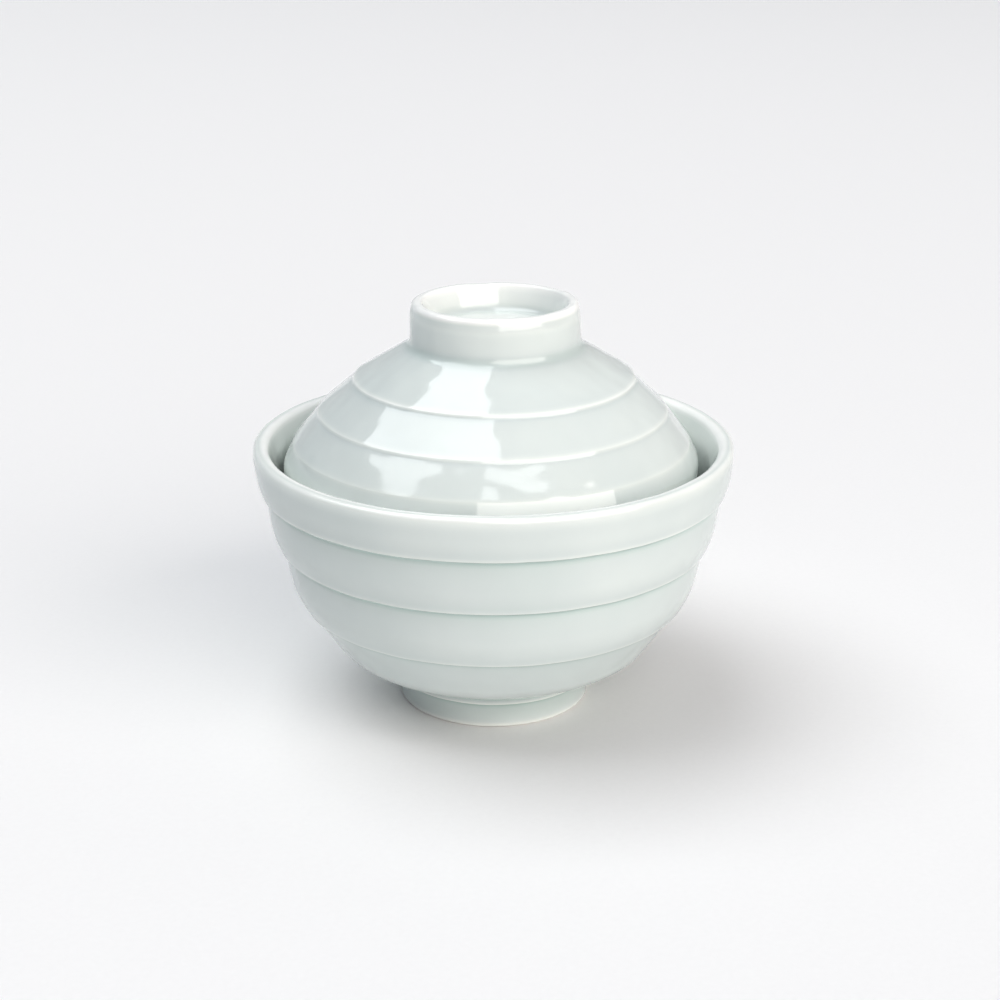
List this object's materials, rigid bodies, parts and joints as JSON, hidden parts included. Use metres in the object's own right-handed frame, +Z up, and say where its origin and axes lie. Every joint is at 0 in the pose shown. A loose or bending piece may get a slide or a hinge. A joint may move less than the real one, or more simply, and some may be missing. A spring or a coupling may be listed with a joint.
{
  "type": "lidded rice bowl",
  "caption": "Round footed rice bowl with stepped overlapping bands and a domed, ridged lid that nests inside the rim and lifts off by a ring knob.",
  "frame": {"origin": "centre of the foot ring's resting plane", "axes": "+Z up along the axis of revolution, from the foot to the lid's knob"},
  "size_m": [0.1206, 0.1206, 0.1043],
  "materials": {
    "celadon_glaze": "glossy, very pale blue-green glaze over white porcelain"
  },
  "bodies": {
    "bowl": {"bowl": "celadon_glaze"},
    "lid": {"lid": "celadon_glaze"}
  },
  "joints": [
    {"name": "lid_lift", "type": "slide", "parent": "bowl", "child": "lid", "axis": [0, 0, 1], "range_m": [0, 0.08]}
  ]
}
